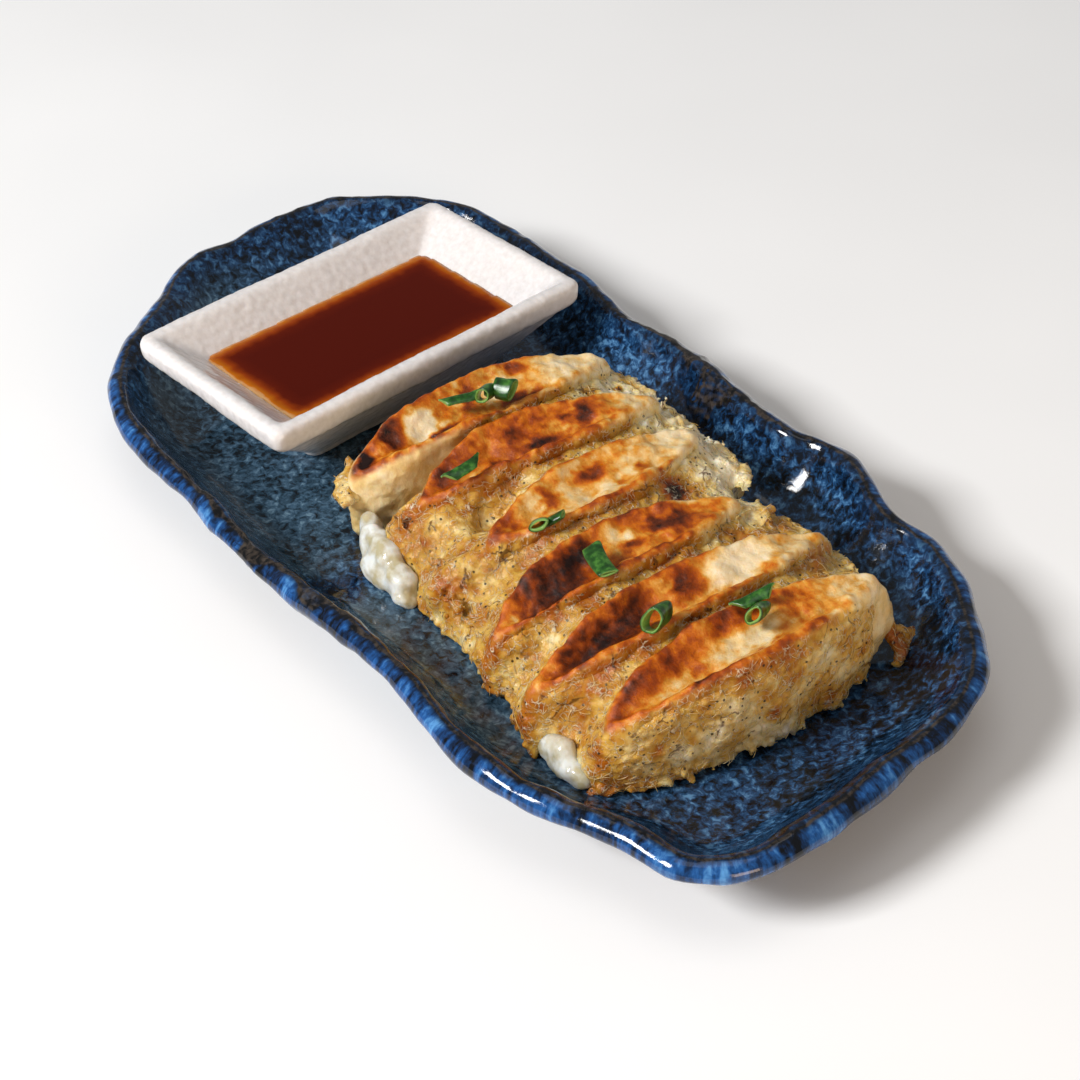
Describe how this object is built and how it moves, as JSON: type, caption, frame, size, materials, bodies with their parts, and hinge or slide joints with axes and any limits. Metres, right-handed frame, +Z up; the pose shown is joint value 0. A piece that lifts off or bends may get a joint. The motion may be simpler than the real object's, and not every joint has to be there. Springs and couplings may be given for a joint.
{
  "type": "plate of pan-fried gyoza dumplings with dipping sauce",
  "caption": "Pan-fried gyoza dumplings turned fried side up in a row on a long hand-shaped stoneware plate, beside a rectangular porcelain dish of dark dipping sauce.",
  "frame": {"origin": "under the middle of the plate, on the surface it stands on", "axes": "+X along the plate, from the sauce dish to the free end; +Y across the plate, the way the dumplings lie; +Z up"},
  "size_m": [0.297, 0.144, 0.0354],
  "materials": {
    "blue_glazed_stoneware": "glossy navy glaze with lighter mottling, thin and brown on the rim's crest",
    "white_glazed_porcelain": "glossy white glaze over a finely dimpled body",
    "dark_dipping_sauce": "still liquid, dark red-brown, glossy",
    "fried_gyoza_wrapper": "fried dough, cream to golden with brown patches, slightly oily"
  },
  "bodies": {
    "root": {"plate": "blue_glazed_stoneware", "sauce_dish": "white_glazed_porcelain", "dipping_sauce": "dark_dipping_sauce", "gyoza_1": "fried_gyoza_wrapper", "gyoza_2": "fried_gyoza_wrapper", "gyoza_3": "fried_gyoza_wrapper", "gyoza_4": "fried_gyoza_wrapper", "gyoza_5": "fried_gyoza_wrapper", "gyoza_6": "fried_gyoza_wrapper"}
  },
  "joints": []
}
